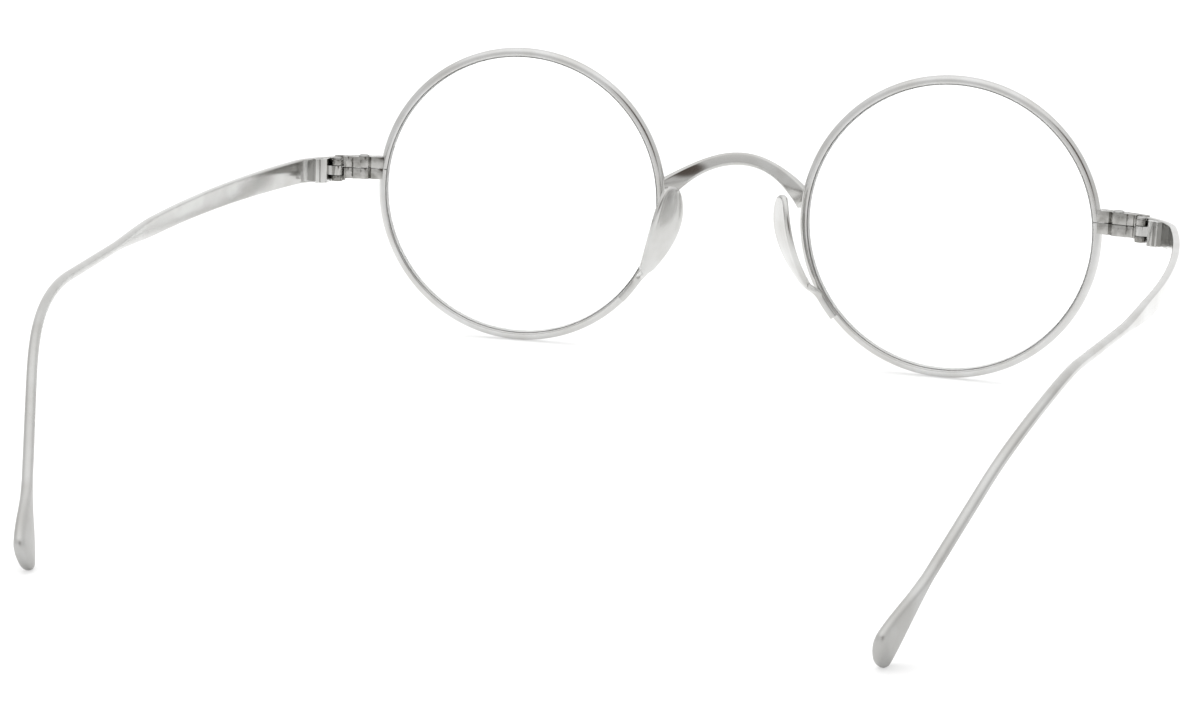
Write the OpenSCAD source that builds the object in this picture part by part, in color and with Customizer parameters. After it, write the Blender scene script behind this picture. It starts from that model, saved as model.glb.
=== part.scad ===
// Round eyeglass frame in polished metal, standing open on a table.
// X points to the wearer's left, Y back along the temples, Z up from the table.

/* [Front] */
// Width of each lens, from groove bottom to groove bottom
lens_size = 44; // [42:0.5:46]
// Distance between the two lenses at the nose
bridge_size = 22; // [20:0.5:24]
// Turn of each eyewire about the vertical, temporal side towards the face, in degrees
face_form = 2.75; // [1:0.25:4]
// Metal of the eyewire outside the lens groove
eyewire_wall = 0.65; // [0.55:0.05:0.8]
// Depth of the lens groove
groove_depth = 0.6; // [0.45:0.05:0.7]
// Width of the lens groove at its mouth
groove_mouth = 0.9; // [0.7:0.1:1.1]
// Width of the eyewire, front to back
eyewire_width = 1.8; // [1.7:0.1:2.2]
// Saw cut that lets the eyewire open for the lens
eyewire_slit = 0.35; // [0.25:0.05:0.5]

/* [Demo lens] */
// Thickness of the lens
lens_thickness = 1.5; // [1.2:0.1:1.8]
// Radius of the lens's curved faces
lens_curve = 130; // [110:5:200]

/* [Bridge] */
// Height of the bridge's crown above the lens centres
bridge_rise = 7.1; // [6:0.1:8]
// Height of the bridge's feet above the lens centres
bridge_foot = 2.3; // [1.8:0.1:2.8]
// How far the crown stands forward of the feet
bridge_bow = 4.6; // [3.6:0.2:5.4]
// Width of the bridge strip at its crown
bridge_width = 1.9; // [1.6:0.1:2.2]
// Width of the bridge strip where it meets the eyewires
bridge_foot_width = 3.5; // [3:0.1:4]
// Thickness of the bridge strip
bridge_thickness = 1.2; // [1:0.1:1.4]
// Lean of the strip at its crown, top edge forward, in degrees
bridge_lean = 22; // [10:2:30]

/* [Nose pads] */
// Width of each pad at its widest
pad_width = 6; // [5.4:0.2:6.6]
// Thickness of each pad
pad_thickness = 1.1; // [0.9:0.1:1.3]
// Height of the pad's top above the lens centres
pad_top = 3.6; // [3:0.2:4.2]
// Length of the pad, down to its neck
pad_length = 13; // [12.4:0.2:13.6]
// Distance from the pad's top down to its widest place
pad_widest = 5.8; // [5:0.2:6.4]
// Distance from the pad's widest place down to where it is as slim as its strip
pad_fade_length = 8.8; // [8.2:0.1:9.4]
// Distance of the pad's top inside the lens's edge, towards the nose
pad_inset = 2.6; // [2.2:0.1:3]
// How far the pad stands behind the lens plane
pad_setback = 3.2; // [2.8:0.1:3.6]
// Turn of the pad's face from straight back, towards the nose, in degrees
pad_turn = 57; // [50:1:62]
// Angle round the eyewire, below the nose, where the pad's strip leaves the metal
pad_leave_angle = 33; // [31:0.5:35]
// Angle round the eyewire where the pad's strip ends
pad_end_angle = 42; // [40:0.5:46]
// Width of the pad's strip
pad_strip_width = 1.1; // [1:0.1:1.3]
// Thickness of the pad's strip
pad_strip_thickness = 0.75; // [0.6:0.05:0.9]

/* [Closing blocks] */
// Height of the closing block, both halves together
block_height = 3.4; // [3.2:0.1:3.6]
// Height of the block's saw cut above the lens centre
block_rise = 2.85; // [2.6:0.05:3.1]
// Saw cut between the two halves of the block
block_slit = 0.12; // [0.08:0.02:0.2]
// Thickness of the block's arm, front to back
block_thickness = 2; // [1.8:0.1:2.2]
// Turn of the arm towards the back, in degrees
block_turn = 18; // [14:1:20]
// Distance from the eyewire to the closing screw
block_screw_reach = 2.1; // [2:0.1:2.3]
// Radius of the round boss that holds the closing screw
block_boss_r = 1.05; // [1:0.05:1.15]
// Radius of the closing screw's shank
closing_screw_r = 0.5; // [0.4:0.05:0.55]
// Radius of the closing screw's head
closing_head_r = 0.8; // [0.7:0.05:0.85]
// Height of the closing screw's head
closing_head_h = 0.6; // [0.5:0.05:0.7]
// How far that head stands proud of the block
closing_head_proud = 0.25; // [0:0.05:0.3]

/* [Hinges] */
// Height of the hinge's middle above the lens centre
hinge_rise = 2.5; // [2.4:0.05:2.6]
// Distance from the eyewire's edge out to the hinge axis
hinge_reach = 5.8; // [5.5:0.1:6.2]
// Distance of the hinge axis behind the lens plane
hinge_setback = 3.5; // [3.3:0.1:3.9]
// Radius of the hinge barrels
barrel_r = 0.82; // [0.76:0.02:0.86]
// Height of the three barrels together
barrel_stack = 3.3; // [3.1:0.1:3.4]
// Height of the middle barrel, which belongs to the temple
barrel_middle_h = 1.4; // [1.2:0.1:1.6]
// Thickness of the washers between the barrels
washer_thickness = 0.1; // [0.08:0.01:0.14]
// Radius of the hinge screw's shank
hinge_screw_r = 0.45; // [0.4:0.05:0.5]
// Radius of the hinge screw's head
hinge_head_r = 0.7; // [0.65:0.05:0.75]
// Height of the hinge screw's head
hinge_head_h = 0.35; // [0.3:0.05:0.45]
// Length of the temple's hinge leaf
leaf_length = 1.7; // [1.4:0.1:2]
// Thickness of the leaf on the temple's inner face
leaf_thickness = 1.4; // [1.2:0.05:1.6]
// Slot between the leaf's end and the barrels in front of it
leaf_slot = 0.25; // [0.15:0.05:0.35]
// Radial clearance of screws in their holes
screw_clearance = 0.03; // [0.02:0.01:0.06]
// Clearance between pieces that swing past each other
swing_clearance = 0.08; // [0.06:0.01:0.12]

/* [Temples] */
// Length of a temple from its end face to its tip, along the strip
temple_length = 149.5; // [142:0.5:156]
// Height of the strip at the hinge
temple_height = 3.8; // [3.5:0.1:4]
// Thickness of the strip at the hinge
temple_thickness = 1.0; // [0.9:0.1:1.2]
// Height of the strip where it starts to narrow
temple_mid_height = 2.6; // [2.2:0.1:2.8]
// Distance from the end face to where the strip starts to narrow
temple_strip_length = 57; // [52:1:60]
// Length of the taper from flat strip to wire
temple_taper_length = 21; // [16:1:24]
// Diameter of the wire at the ear
wire_d = 1.3; // [1.2:0.05:1.5]
// Outward direction of the temple's end face, in degrees from straight back
butt_out = 46; // [42:2:50]
// Length of the flat stretch under the hinge leaf
butt_length = 2.2; // [2:0.2:2.6]
// Radius of the bend behind the leaf, along the strip's middle
butt_bend_r = 9; // [8:0.5:11]
// Outward direction of the temple after that bend, in degrees
bow_out = 9.8; // [7:0.2:11]
// Inward direction of the temple before the ear, in degrees
bow_in = 7.8; // [7:0.1:9]
// Length of the bowed stretch
bow_length = 68; // [64:1:72]
// Downward bend at the ear, in degrees
ear_drop = 37; // [34:1:42]
// Length of the bend at the ear
ear_bend_length = 28; // [24:1:32]
// Inward direction of the temple behind the ear, in degrees
ear_in = 23; // [18:0.5:28]
// Width of the paddle at the tip
paddle_width = 5.6; // [4.8:0.2:6.6]
// Thickness of the paddle at the tip
paddle_thickness = 2.2; // [1.8:0.1:2.4]
// Length over which the wire swells into the paddle
paddle_length = 14; // [11:0.5:17]
// Length of the paddle's rounded end
tip_round = 1.6; // [1.2:0.1:2]

/* [Hidden] */

$fn = 64;
metal = "silver";

// How far the temple's end face lies outward of the hinge axis
butt_advance = -0.35;

// Gap left between pieces that are brazed or screwed together
seat_gap = 0.02;
// Length that makes a cutting tool pass right through
through = 1;

// Eyewire radii, and where its centre lies
groove_r = lens_size / 2;
eyewire_in_r = groove_r - groove_depth;
eyewire_out_r = groove_r + eyewire_wall;
lens_x = (lens_size + bridge_size) / 2;
lens_z = eyewire_out_r;

// Heights of the block, and of the hinge, which sits a little lower
block_z = lens_z + block_rise;
block_top = block_z + block_height / 2;
block_bottom = block_z - block_height / 2;
hinge_z = lens_z + hinge_rise;
barrel_top = hinge_z + barrel_stack / 2;
barrel_bottom = hinge_z - barrel_stack / 2;
middle_top = hinge_z + barrel_middle_h / 2;
middle_bottom = hinge_z - barrel_middle_h / 2;
washer_space = washer_thickness + 2 * seat_gap;
temporal_x = lens_x + eyewire_out_r * cos(face_form);
temporal_y = eyewire_out_r * sin(face_form);
hinge_x = temporal_x + hinge_reach;
hinge_y = hinge_setback;

// Points on a half ellipse, from start to end degrees
function ellipse_arc(center, rx, ry, start, end, steps) =
    [for (i = [0:steps]) let (a = start + (end - start) * i / steps)
        center + [rx * cos(a), ry * sin(a)]];

// Moves smoothly from 0 to 1 while x goes from a to b
function ease(x, a, b) = let (t = min(max((x - a) / (b - a), 0), 1)) t * t * (3 - 2 * t);
// Moves evenly from 0 to 1 while x goes from a to b
function ramp(x, a, b) = min(max((x - a) / (b - a), 0), 1);
function mix(a, b, t) = a + (b - a) * t;
function unit(v) = v / norm(v);

// A rounded section: a power of 1 gives an ellipse, and less gives squarer corners
function section(height, thickness, power, sides) =
    [for (i = [0:sides - 1]) let (a = 360 * (i + 0.5) / sides, c = cos(a), s = sin(a))
        [height / 2 * sign(c) * pow(abs(c), power), thickness / 2 * sign(s) * pow(abs(s), power)]];

// Lays a flat section at a point, along an up and an across direction
function lay(flat, at, up, across) = [for (p = flat) at + up * p.x + across * p.y];

// One solid through rings that all have the same number of points, which run
// anticlockwise when seen from the last ring
module skin(rings) {
    n = len(rings[0]);
    m = len(rings);
    sides = [for (i = [0:m - 2], j = [0:n - 1])
        let (a = i * n + j, b = i * n + (j + 1) % n) each [[b, a, b + n], [b + n, a, a + n]]];
    first_cap = [for (j = [0:n - 1]) j];
    last_cap = [for (j = [n - 1:-1:0]) (m - 1) * n + j];
    polyhedron(points = [for (ring = rings) each ring], faces = concat(sides, [first_cap, last_cap]));
}

// The strip narrows to a wire, and the wire swells to a paddle with a rounded end
paddle_start = temple_length - paddle_length;
paddle_flare = 1.35;
function to_wire(s) = ease(s, temple_strip_length, temple_strip_length + temple_taper_length);
function to_paddle(s) = ramp(s, paddle_start, temple_length);
function end_fade(s) = sqrt(1 - pow(ramp(s, temple_length - tip_round, temple_length), 2));
function strip_height(s) =
    s < temple_strip_length ? mix(temple_height, temple_mid_height, s / temple_strip_length)
    : s < paddle_start ? mix(temple_mid_height, wire_d, to_wire(s))
    : mix(wire_d, paddle_width, pow(to_paddle(s), paddle_flare)) * end_fade(s);
function strip_thickness(s) =
    s < paddle_start ? mix(temple_thickness, wire_d, to_wire(s))
    : mix(wire_d, paddle_thickness, to_paddle(s)) * pow(end_fade(s), 0.6);
// Nearly square at the hinge, round in the wire, soft in the paddle
temple_sides = 16;
paddle_softness = 0.8;
function softness(s) = mix(mix(0.28, 1, to_wire(s)), paddle_softness, to_paddle(s));

// The temple's direction at a distance along it: outward and downward, in degrees
butt_end = butt_length + butt_bend_r * (butt_out - bow_out) * PI / 180;
bow_end = butt_end + bow_length;
bow_quickness = 0.7;
ear_radius = ear_bend_length / (ear_drop * PI / 180);
// The paddle touches the table this far below the middle of its tip
section_reach = pow(cos(180 / temple_sides), paddle_softness) / 2;
tip_depth = max([for (i = [0:24]) let (back = 2 * tip_round * i / 24)
    strip_height(temple_length - back) * section_reach * cos(ear_drop) - back * sin(ear_drop)]);
drop_length = (hinge_z - ear_radius * (1 - cos(ear_drop)) - tip_depth) / sin(ear_drop);
ear_start = temple_length - ear_bend_length - drop_length;
ear_end = ear_start + ear_bend_length;
function outward(s) = s < butt_length ? butt_out
    : s < butt_end ? mix(butt_out, bow_out, ramp(s, butt_length, butt_end))
    : s < ear_start ? mix(bow_out, -bow_in, pow(ramp(s, butt_end, bow_end), bow_quickness))
    : mix(-bow_in, -ear_in, ease(s, ear_start, ear_end));
function downward(s) = ear_drop * ramp(s, ear_start, ear_end);
function heading(s) = let (h = outward(s), d = downward(s))
    [sin(h) * cos(d), cos(h) * cos(d), -sin(d)];

// Distances along the temple at which its section is drawn. The rounded end stops just short
// of a quarter turn, at a small flat
tip_end_angle = 84;
function spaced(from, to, steps) = [for (i = [0:steps - 1]) from + (to - from) * i / steps];
temple_stations = concat([0], spaced(butt_length, butt_end, 7),
    spaced(butt_end, temple_strip_length, 8),
    spaced(temple_strip_length, temple_strip_length + temple_taper_length, 8),
    spaced(temple_strip_length + temple_taper_length, ear_start, 3),
    spaced(ear_start, ear_end, 10),
    [ear_end],
    spaced(max(ear_end, paddle_start) + 0.5, temple_length - tip_round, 10),
    [for (i = [0:6]) temple_length - tip_round * (1 - sin(tip_end_angle * i / 6))]);

// Middle line of the temple, walked station by station
butt_heading = [sin(butt_out), cos(butt_out), 0];
butt_inward = [-cos(butt_out), sin(butt_out), 0];
strip_inset = barrel_r + swing_clearance;
temple_start = [hinge_x, hinge_y, hinge_z] - butt_inward * (strip_inset + temple_thickness / 2)
               + butt_heading * butt_advance;
function step_along(i) = let (a = temple_stations[i], b = temple_stations[i + 1])
    heading((a + b) / 2) * (b - a);
temple_path = [for (i = 0, p = temple_start; i < len(temple_stations);
                    p = p + (i < len(temple_stations) - 1 ? step_along(i) : [0, 0, 0]), i = i + 1) p];

// The paddle leans a little outwards at its top
paddle_lean = 3;
function temple_ring(i) = let (s = temple_stations[i], t = heading(s),
        lean = paddle_lean * ease(s, ear_start, temple_length),
        want = [sin(lean), 0, cos(lean)], up = unit(want - t * (want * t)), across = cross(t, up))
    lay(section(strip_height(s), strip_thickness(s), softness(s), temple_sides),
        temple_path[i], up, across);
temple_rings = [for (i = [0:len(temple_stations) - 1]) temple_ring(i)];

// Bridge strip, from one foot to the other
bridge_foot_x = lens_x - sqrt(pow(eyewire_out_r, 2) - pow(bridge_foot, 2)) * cos(face_form) + 0.35;
bridge_foot_y = -eyewire_out_r * sin(face_form) - eyewire_width + bridge_thickness / 2;
bridge_steps = 32;
function bridge_point(u) = [bridge_foot_x * u, bridge_foot_y - bridge_bow * (1 - u * u),
                            lens_z + bridge_foot + (bridge_rise - bridge_foot) * (1 - u * u)];
function bridge_ring(u) = let (t = unit([bridge_foot_x, 2 * bridge_bow * u,
                                         -2 * (bridge_rise - bridge_foot) * u]),
        lean = bridge_lean * (1 - u * u), want = [0, -sin(lean), cos(lean)],
        up = unit(want - t * (want * t)), across = cross(t, up),
        width = mix(bridge_width, bridge_foot_width, pow(u, 4)))
    lay(section(width, bridge_thickness, 0.45, 16), bridge_point(u), up, across);
bridge_rings = [for (i = [0:bridge_steps]) bridge_ring(-1 + 2 * i / bridge_steps)];

// The origin lies in the middle of the frame's depth
front_y = min([for (ring = bridge_rings) each [for (p = ring) p.y]]);
back_y = max([for (ring = temple_rings) each [for (p = ring) p.y]]);
middle_y = (front_y + back_y) / 2;

// Puts a left-hand piece in place, or its mirror image on the right
module placed(side) {
    translate([0, -middle_y, 0]) {
        if (side > 0) children();
        if (side < 0) mirror([1, 0, 0]) children();
    }
}

// Lays a shape turned about Z into the left lens plane, its front towards -Y
module in_lens_plane() {
    translate([lens_x, 0, lens_z]) rotate([0, 0, face_form]) rotate([90, 0, 0]) children();
}

// Section of the eyewire without its groove: flat lips inside, a dome outside
function eyewire_outline(grow) = let (h = eyewire_width / 2, lip = 0.3, waist = eyewire_in_r + 0.4)
    concat(ellipse_arc([waist, h], eyewire_out_r - waist + grow, h + grow, -90, 90, 14),
           ellipse_arc([eyewire_in_r + lip, eyewire_width - lip + grow], lip, lip, 90, 180, 3),
           ellipse_arc([eyewire_in_r + lip, lip - grow], lip, lip, 180, 270, 3));

module eyewire_blank(grow = 0) {
    rotate_extrude($fn = 180) polygon(eyewire_outline(grow));
}

module lens_groove() {
    mouth = groove_mouth / 2;
    middle = eyewire_width / 2;
    rotate_extrude($fn = 180)
        polygon([[eyewire_in_r - 1, middle - mouth], [eyewire_in_r, middle - mouth],
                 [groove_r, middle - mouth / 3], [groove_r, middle + mouth / 3],
                 [eyewire_in_r, middle + mouth], [eyewire_in_r - 1, middle + mouth]]);
}

module eyewire() {
    color(metal) difference() {
        in_lens_plane() difference() {
            eyewire_blank();
            lens_groove();
        }
        translate([temporal_x, 0, block_z])
            cube([8 * eyewire_wall, 8 * eyewire_width, eyewire_slit], center = true);
    }
}

// Half the lens bevel's thickness at a radius: the groove's own wall, less the seat's play
groove_slope = groove_mouth / 3 / groove_depth;
function bevel_half(r) = groove_mouth / 6 + groove_slope * (groove_r - r) - 1.5 * seat_gap;

// Meniscus with a bevelled edge that sits in the groove
module demo_lens() {
    bevel_r = groove_r - seat_gap;
    face_r = eyewire_in_r - 0.1;
    half = lens_thickness / 2;
    middle = eyewire_width / 2;
    shoulder = bevel_half(face_r);
    tip = bevel_half(bevel_r);
    sag = lens_curve - sqrt(pow(lens_curve, 2) - pow(face_r, 2));
    color([0.9, 0.95, 1, 0.3]) in_lens_plane() translate([0, 0, middle]) difference() {
        intersection() {
            union() {
                cylinder(r = face_r, h = 2 * (sag + lens_thickness), center = true, $fn = 180);
                rotate_extrude($fn = 180)
                    polygon([[face_r - 1, -shoulder], [face_r, -shoulder], [bevel_r, -tip],
                             [bevel_r, tip], [face_r, shoulder], [face_r - 1, shoulder]]);
            }
            translate([0, 0, half + sag - lens_curve]) sphere(r = lens_curve, $fn = 180);
        }
        translate([0, 0, sag - half - lens_curve])
            sphere(r = lens_curve, $fn = 180);
    }
}

module bridge() {
    color(metal) difference() {
        skin(bridge_rings);
        for (side = [-1, 1])
            mirror([side < 0 ? 1 : 0, 0, 0]) in_lens_plane() eyewire_blank(seat_gap);
    }
}

// Middle line of a nose pad: an even curve down its face, a neck, then a strip on the eyewire
strip_r = (eyewire_in_r + 0.3 + eyewire_out_r) / 2;
strip_back = pad_strip_thickness / 2 - 0.1;
function on_eyewire(angle) = let (c = -strip_r * cos(angle))
    [lens_x + c * cos(face_form), c * sin(face_form) + strip_back, lens_z - strip_r * sin(angle)];
pad_curve = 0.0255;
pad_reach = bridge_size / 2 - pad_inset;
function pad_face(s) = [pad_reach + pad_curve * pow(s - 0.8, 2),
                        pad_setback - pad_curve * pow(s - pad_widest + 0.5, 2), lens_z + pad_top - s];
function bezier(a, b, c, d, t) = a * pow(1 - t, 3) + b * 3 * t * pow(1 - t, 2)
    + c * 3 * t * t * (1 - t) + d * pow(t, 3);
pad_low = pad_face(pad_length);
pad_low_heading = unit(pad_low - pad_face(pad_length - 0.1));
strip_leave = on_eyewire(pad_leave_angle);
strip_heading = unit(on_eyewire(pad_leave_angle + 1) - strip_leave);
neck_reach = norm(strip_leave - pad_low) * 0.4;
function pad_point(t) = t < 1 ? pad_face(pad_length * t)
    : t < 2 ? bezier(pad_low, pad_low + pad_low_heading * neck_reach,
                     strip_leave - strip_heading * neck_reach, strip_leave, t - 1)
    : on_eyewire(mix(pad_leave_angle, pad_end_angle, t - 2));
function pad_heading(t) = unit(pad_point(min(t + 0.01, 3)) - pad_point(max(t - 0.01, 0)));
// The pad's width runs back and away from the nose, and turns flat against the eyewire
function pad_across(t) = let (turn = mix(pad_turn, 0, ease(t, 0.9, 2)))
    [cos(turn), sin(turn), 0.4 * ease(t, 1, 2)];
function pad_half_width(t) = let (s = t * pad_length,
        top = pow(max(0.0002, 1 - pow(1 - min(s / pad_widest, 1), 2)), 0.7),
        low = 1 - pow(ramp(s, pad_widest, pad_widest + pad_fade_length), 2))
    mix(pad_strip_width, pad_width, s < pad_widest ? top : low) / 2;
pad_stations = [0, 0.005, 0.015, 0.03, 0.06, 0.1, 0.15, 0.2, 0.27, 0.35, 0.44, 0.53, 0.62, 0.7,
                0.78, 0.86, 0.93, 1, 1.15, 1.3, 1.45, 1.6, 1.75, 1.9, 2.1, 2.4, 2.7, 3];
// A flat back, a bevelled rim and a flat face
function pad_section(half, thickness) = let (bevel = min(half * 0.35, thickness * 0.6))
    [[-half, thickness / 2 - bevel], [bevel - half, thickness / 2], [half - bevel, thickness / 2],
     [half, thickness / 2 - bevel], [half, -thickness / 2], [-half, -thickness / 2]];
function pad_ring(t) = let (down = pad_heading(t), wide = pad_across(t),
        across = unit(wide - down * (wide * down)), face = cross(across, down),
        thick = mix(pad_thickness, pad_strip_thickness, ease(t, 0.8, 1.9)))
    lay(pad_section(pad_half_width(t), thick), pad_point(t), across, face);

module nose_pad() {
    color(metal) difference() {
        skin([for (t = pad_stations) pad_ring(t)]);
        in_lens_plane() eyewire_blank(seat_gap);
    }
}

// Plan of the closing block, seen from above: straight arm, wall in front of the barrels
arm_along = [cos(block_turn), sin(block_turn)];
arm_back = [-sin(block_turn), cos(block_turn)];
arm_root = [temporal_x, temporal_y + 0.2];
function arm(along, across) = arm_root + arm_along * along + arm_back * across;
screw_at = arm(block_screw_reach, 0.2 - block_boss_r);
notch_at = block_screw_reach - block_boss_r + 0.1;
notch_depth = 0.35;
neck_x = hinge_x - barrel_r - swing_clearance;
neck_along = (neck_x - arm_root.x) / cos(block_turn);
scoop_r = 0.8;
function plan(v) = [v.x, v.y];
seam = plan(temple_start) - plan(butt_heading) * swing_clearance;
seam_inner = seam + plan(butt_inward) * temple_thickness / 2;
seam_outer = seam - plan(butt_inward) * temple_thickness / 2;
wall_inner = seam_inner - plan(butt_heading) * 0.9;
block_plan = [arm(-0.9, -block_thickness), arm(neck_along - 0.6, -block_thickness),
              seam_outer, seam_inner, wall_inner, arm(neck_along, -1), arm(neck_along, 0),
              arm(notch_at + notch_depth, 0), arm(notch_at, -notch_depth),
              arm(notch_at - notch_depth / 2, 0), arm(-0.9, 0)];

// One half of the block's outline, between two heights
module block_half(low, high) {
    scoop_at = arm(neck_along - scoop_r, scoop_r - 0.3);
    difference() {
        union() {
            translate([0, 0, low]) linear_extrude(high - low) polygon(block_plan);
            translate([screw_at.x, screw_at.y, low]) cylinder(r = block_boss_r, h = high - low);
        }
        in_lens_plane() eyewire_blank(seat_gap);
        translate([scoop_at.x, scoop_at.y, low - through])
            cylinder(r = scoop_r, h = high - low + 2 * through);
        translate([hinge_x, hinge_y, middle_bottom - washer_space])
            cylinder(r = barrel_r + swing_clearance, h = barrel_middle_h + 2 * washer_space);
    }
}

// A hinge barrel and the web that carries it on the arm's end
module front_barrel(low, high) {
    translate([hinge_x, hinge_y, low]) cylinder(r = barrel_r, h = high - low);
    translate([0, 0, low]) linear_extrude(high - low)
        polygon([arm(neck_along - 0.2, -1.2), wall_inner - plan(butt_inward) * 0.1,
                 seam_inner - plan(butt_heading) * 0.1 - plan(butt_inward) * 0.1,
                 [hinge_x + barrel_r * 0.5, hinge_y], [hinge_x, hinge_y + barrel_r * 0.4],
                 [hinge_x - barrel_r * 0.6, hinge_y + barrel_r * 0.1], arm(neck_along - 0.2, -0.3)]);
}

module screw_bore(at, r) {
    translate([at.x, at.y, barrel_bottom - through])
        cylinder(r = r, h = block_height + 3 * through);
}
hinge_at = [hinge_x, hinge_y];

module closing_block_upper() {
    color(metal) difference() {
        union() {
            block_half(block_z + block_slit / 2, block_top);
            front_barrel(middle_top + washer_space, barrel_top);
        }
        screw_bore(screw_at, closing_screw_r + screw_clearance);
        screw_bore(hinge_at, hinge_screw_r + screw_clearance);
        translate([screw_at.x, screw_at.y, block_top - closing_head_h + closing_head_proud - seat_gap])
            cylinder(r = closing_head_r + screw_clearance, h = closing_head_h + through);
    }
}

module closing_block_lower() {
    color(metal) difference() {
        union() {
            block_half(block_bottom, block_z - block_slit / 2);
            front_barrel(barrel_bottom, middle_bottom - washer_space);
        }
        screw_bore(screw_at, closing_screw_r + screw_clearance);
        screw_bore(hinge_at, hinge_screw_r + screw_clearance);
    }
}

// Slotted screw that hangs from its head, the head's top edge broken
module slotted_screw(shank_r, length, head_r, head_h) {
    edge = head_h / 4;
    difference() {
        union() {
            cylinder(r = shank_r, h = length - head_h / 2);
            translate([0, 0, length - head_h]) cylinder(r = head_r, h = head_h - edge);
            translate([0, 0, length - edge]) cylinder(r1 = head_r, r2 = head_r - edge, h = edge);
        }
        translate([0, 0, length]) cube([3 * head_r, 0.25, head_h], center = true);
    }
}

module closing_screw() {
    color(metal) translate([screw_at.x, screw_at.y, block_bottom + 0.1])
        slotted_screw(closing_screw_r, block_height - 0.1 + closing_head_proud, closing_head_r,
                      closing_head_h);
}

module hinge_screw() {
    color(metal) translate([hinge_x, hinge_y, barrel_bottom])
        slotted_screw(hinge_screw_r, barrel_stack + seat_gap + hinge_head_h, hinge_head_r,
                      hinge_head_h);
}

module hinge_washers() {
    color("dimgray") for (low = [middle_top + seat_gap, middle_bottom - seat_gap - washer_thickness])
        translate([hinge_x, hinge_y, low]) difference() {
            cylinder(r = barrel_r - 0.05, h = washer_thickness);
            translate([0, 0, -through])
                cylinder(r = hinge_screw_r + screw_clearance, h = washer_thickness + 2 * through);
        }
}

// Leaf on the temple's inner face, seen from above: its end stands clear of the front barrels
leaf_x = hinge_x + barrel_r + leaf_slot;
function butt(along, across) = plan([hinge_x, hinge_y, 0]) + plan(butt_heading) * along
    + plan(butt_inward) * (across - strip_inset);
leaf_start = (leaf_x - hinge_x - (leaf_thickness - strip_inset) * butt_inward.x) / butt_heading.x;
leaf_foot = (leaf_x - hinge_x + (strip_inset - seat_gap) * butt_inward.x) / butt_heading.x;
leaf_end = leaf_start + leaf_length;
// The leaf's seat follows the strip where it starts to bend
leaf_seat_r = butt_bend_r - temple_thickness / 2 - seat_gap;
function leaf_seat(along) = let (x = max(0, along - butt_advance - butt_length))
    seat_gap + leaf_seat_r - sqrt(pow(leaf_seat_r, 2) - pow(x, 2));
leaf_plan = concat([butt(leaf_foot, seat_gap), butt(leaf_start, leaf_thickness),
                    butt(leaf_start + leaf_length * 0.6, leaf_thickness),
                    butt(leaf_start + leaf_length * 0.6, leaf_thickness - 0.3),
                    butt(leaf_end, leaf_thickness - 0.3)],
                   [for (i = [0:6]) let (along = mix(leaf_end, butt_advance + butt_length, i / 6))
                       butt(along, leaf_seat(along))]);
web_plan = [hinge_at, butt(0, seat_gap), butt(leaf_foot + leaf_slot, seat_gap),
            hinge_at + [barrel_r + 2 * leaf_slot, barrel_r * 0.9], hinge_at + [0, barrel_r * 0.9]];

// Middle barrel with the leaf that carries it
module hinge_leaf() {
    color(metal) difference() {
        union() {
            translate([hinge_x, hinge_y, middle_bottom]) cylinder(r = barrel_r, h = barrel_middle_h);
            translate([0, 0, middle_bottom]) linear_extrude(barrel_middle_h) polygon(web_plan);
            translate([0, 0, hinge_z - temple_height / 2 + 0.08])
                linear_extrude(temple_height - 0.16) polygon(leaf_plan);
        }
        screw_bore(hinge_at, hinge_screw_r + screw_clearance);
    }
}

module temple() {
    color(metal) skin(temple_rings);
}

placed(1) eyewire();  // eyewire_left
placed(-1) eyewire();  // eyewire_right
placed(1) demo_lens();  // demo_lens_left
placed(-1) demo_lens();  // demo_lens_right
placed(1) bridge();
placed(1) nose_pad();  // nose_pad_left
placed(-1) nose_pad();  // nose_pad_right
placed(1) closing_block_upper();  // closing_block_upper_left
placed(-1) closing_block_upper();  // closing_block_upper_right
placed(1) closing_block_lower();  // closing_block_lower_left
placed(-1) closing_block_lower();  // closing_block_lower_right
placed(1) closing_screw();  // closing_screw_left
placed(-1) closing_screw();  // closing_screw_right
placed(1) hinge_screw();  // hinge_screw_left
placed(-1) hinge_screw();  // hinge_screw_right
placed(1) hinge_washers();  // hinge_washers_left
placed(-1) hinge_washers();  // hinge_washers_right
placed(1) hinge_leaf();  // hinge_leaf_left
placed(-1) hinge_leaf();  // hinge_leaf_right
placed(1) temple();  // temple_left
placed(-1) temple();  // temple_right
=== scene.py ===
# %% [markdown]
# # A round eyeglass frame in polished metal
# The frame stands open on a white table and is seen from behind, over the ends of its
# temples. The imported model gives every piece's place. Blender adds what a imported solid
# lacks: smooth sweeps, broken edges, a hand-polished surface and soft studio light.

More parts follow.
